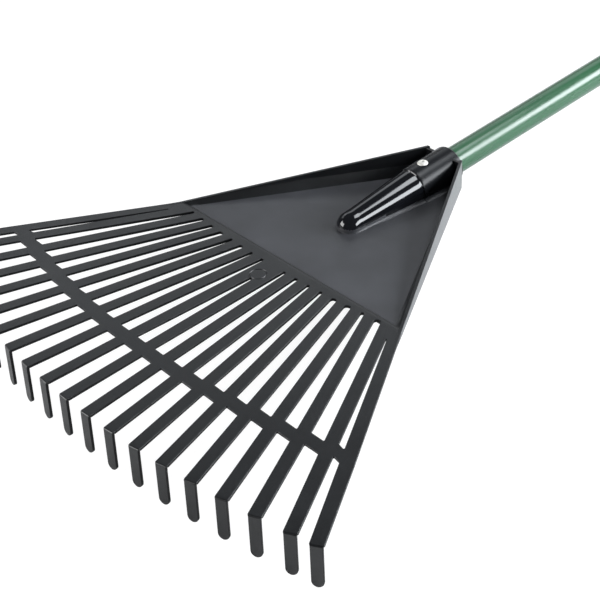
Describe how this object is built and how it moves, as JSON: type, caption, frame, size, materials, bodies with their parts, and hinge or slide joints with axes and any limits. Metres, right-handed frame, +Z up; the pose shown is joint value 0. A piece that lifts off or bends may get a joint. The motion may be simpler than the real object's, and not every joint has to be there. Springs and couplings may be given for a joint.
{
  "type": "leaf rake",
  "caption": "Leaf rake with a fan of springy hooked tines joined by a cross band, a shallow walled tray and a tapered socket riveted to a tube handle with a hang-hole cap.",
  "frame": {"origin": "middle of the footprint of the rake's bounding box, on the ground that the tine tips and the handle's end cap rest on", "axes": "+Y along the handle towards its free end, +X across the fan, +Z up; the tines point along -Y and their hooks point down"},
  "size_m": [0.5, 1.5744, 0.0373],
  "materials": {
    "head_plastic": "satin black moulding, glossy on the socket",
    "tine_plastic": "satin black moulding",
    "handle_paint": "glossy green enamel",
    "cap_plastic": "matte black moulding",
    "rivet_alloy": "bright, lightly tarnished",
    "mandrel_steel": "dull"
  },
  "bodies": {
    "rake": {"rake_head": "head_plastic", "handle_tube": "handle_paint", "handle_end_cap": "cap_plastic", "rivet_body": "rivet_alloy", "rivet_mandrel": "mandrel_steel"},
    "tine_01": {"tine_01": "tine_plastic"},
    "tine_02": {"tine_02": "tine_plastic"},
    "tine_03": {"tine_03": "tine_plastic"},
    "tine_04": {"tine_04": "tine_plastic"},
    "tine_05": {"tine_05": "tine_plastic"},
    "tine_06": {"tine_06": "tine_plastic"},
    "tine_07": {"tine_07": "tine_plastic"},
    "tine_08": {"tine_08": "tine_plastic"},
    "tine_09": {"tine_09": "tine_plastic"},
    "tine_10": {"tine_10": "tine_plastic"},
    "tine_11": {"tine_11": "tine_plastic"},
    "tine_12": {"tine_12": "tine_plastic"},
    "tine_13": {"tine_13": "tine_plastic"},
    "tine_14": {"tine_14": "tine_plastic"},
    "tine_15": {"tine_15": "tine_plastic"},
    "tine_16": {"tine_16": "tine_plastic"},
    "tine_17": {"tine_17": "tine_plastic"},
    "tine_18": {"tine_18": "tine_plastic"},
    "tine_19": {"tine_19": "tine_plastic"},
    "tine_20": {"tine_20": "tine_plastic"}
  },
  "joints": [
    {"name": "tine_01_flex", "type": "hinge", "parent": "rake", "child": "tine_01", "pos_m": [-0.20991, -0.69339, 0.03073], "axis": [-0.8548, 0.5182, -0.0284], "range_deg": [-10, 15], "stiffness_Nm_per_rad": 1.5},
    {"name": "tine_02_flex", "type": "hinge", "parent": "rake", "child": "tine_02", "pos_m": [-0.19377, -0.69759, 0.03096], "axis": [-0.8748, 0.4837, -0.0265], "range_deg": [-10, 15], "stiffness_Nm_per_rad": 1.5},
    {"name": "tine_03_flex", "type": "hinge", "parent": "rake", "child": "tine_03", "pos_m": [-0.17087, -0.70294, 0.03126], "axis": [-0.9012, 0.4327, -0.0237], "range_deg": [-10, 15], "stiffness_Nm_per_rad": 1.5},
    {"name": "tine_04_flex", "type": "hinge", "parent": "rake", "child": "tine_04", "pos_m": [-0.14799, -0.70759, 0.03151], "axis": [-0.9249, 0.3797, -0.0208], "range_deg": [-10, 15], "stiffness_Nm_per_rad": 1.5},
    {"name": "tine_05_flex", "type": "hinge", "parent": "rake", "child": "tine_05", "pos_m": [-0.12514, -0.71154, 0.03173], "axis": [-0.9457, 0.3247, -0.0178], "range_deg": [-10, 15], "stiffness_Nm_per_rad": 1.5},
    {"name": "tine_06_flex", "type": "hinge", "parent": "rake", "child": "tine_06", "pos_m": [-0.10232, -0.71482, 0.03191], "axis": [-0.9633, 0.268, -0.0147], "range_deg": [-10, 15], "stiffness_Nm_per_rad": 1.5},
    {"name": "tine_07_flex", "type": "hinge", "parent": "rake", "child": "tine_07", "pos_m": [-0.07954, -0.71743, 0.03205], "axis": [-0.9776, 0.2099, -0.0115], "range_deg": [-10, 15], "stiffness_Nm_per_rad": 1.5},
    {"name": "tine_08_flex", "type": "hinge", "parent": "rake", "child": "tine_08", "pos_m": [-0.05679, -0.71937, 0.03216], "axis": [-0.9885, 0.1508, -0.0083], "range_deg": [-10, 15], "stiffness_Nm_per_rad": 1.5},
    {"name": "tine_09_flex", "type": "hinge", "parent": "rake", "child": "tine_09", "pos_m": [-0.03406, -0.72067, 0.03223], "axis": [-0.9959, 0.0908, -0.005], "range_deg": [-10, 15], "stiffness_Nm_per_rad": 1.5},
    {"name": "tine_10_flex", "type": "hinge", "parent": "rake", "child": "tine_10", "pos_m": [-0.01135, -0.72131, 0.03226], "axis": [-0.9995, 0.0303, -0.0017], "range_deg": [-10, 15], "stiffness_Nm_per_rad": 1.5},
    {"name": "tine_11_flex", "type": "hinge", "parent": "rake", "child": "tine_11", "pos_m": [0.01135, -0.72131, 0.03226], "axis": [-0.9995, -0.0303, 0.0017], "range_deg": [-10, 15], "stiffness_Nm_per_rad": 1.5},
    {"name": "tine_12_flex", "type": "hinge", "parent": "rake", "child": "tine_12", "pos_m": [0.03406, -0.72067, 0.03223], "axis": [-0.9959, -0.0908, 0.005], "range_deg": [-10, 15], "stiffness_Nm_per_rad": 1.5},
    {"name": "tine_13_flex", "type": "hinge", "parent": "rake", "child": "tine_13", "pos_m": [0.05679, -0.71937, 0.03216], "axis": [-0.9885, -0.1508, 0.0083], "range_deg": [-10, 15], "stiffness_Nm_per_rad": 1.5},
    {"name": "tine_14_flex", "type": "hinge", "parent": "rake", "child": "tine_14", "pos_m": [0.07954, -0.71743, 0.03205], "axis": [-0.9776, -0.2099, 0.0115], "range_deg": [-10, 15], "stiffness_Nm_per_rad": 1.5},
    {"name": "tine_15_flex", "type": "hinge", "parent": "rake", "child": "tine_15", "pos_m": [0.10232, -0.71482, 0.03191], "axis": [-0.9633, -0.268, 0.0147], "range_deg": [-10, 15], "stiffness_Nm_per_rad": 1.5},
    {"name": "tine_16_flex", "type": "hinge", "parent": "rake", "child": "tine_16", "pos_m": [0.12514, -0.71154, 0.03173], "axis": [-0.9457, -0.3247, 0.0178], "range_deg": [-10, 15], "stiffness_Nm_per_rad": 1.5},
    {"name": "tine_17_flex", "type": "hinge", "parent": "rake", "child": "tine_17", "pos_m": [0.14799, -0.70759, 0.03151], "axis": [-0.9249, -0.3797, 0.0208], "range_deg": [-10, 15], "stiffness_Nm_per_rad": 1.5},
    {"name": "tine_18_flex", "type": "hinge", "parent": "rake", "child": "tine_18", "pos_m": [0.17087, -0.70294, 0.03126], "axis": [-0.9012, -0.4327, 0.0237], "range_deg": [-10, 15], "stiffness_Nm_per_rad": 1.5},
    {"name": "tine_19_flex", "type": "hinge", "parent": "rake", "child": "tine_19", "pos_m": [0.19377, -0.69759, 0.03096], "axis": [-0.8748, -0.4837, 0.0265], "range_deg": [-10, 15], "stiffness_Nm_per_rad": 1.5},
    {"name": "tine_20_flex", "type": "hinge", "parent": "rake", "child": "tine_20", "pos_m": [0.20991, -0.69339, 0.03073], "axis": [-0.8548, -0.5182, 0.0284], "range_deg": [-10, 15], "stiffness_Nm_per_rad": 1.5}
  ]
}
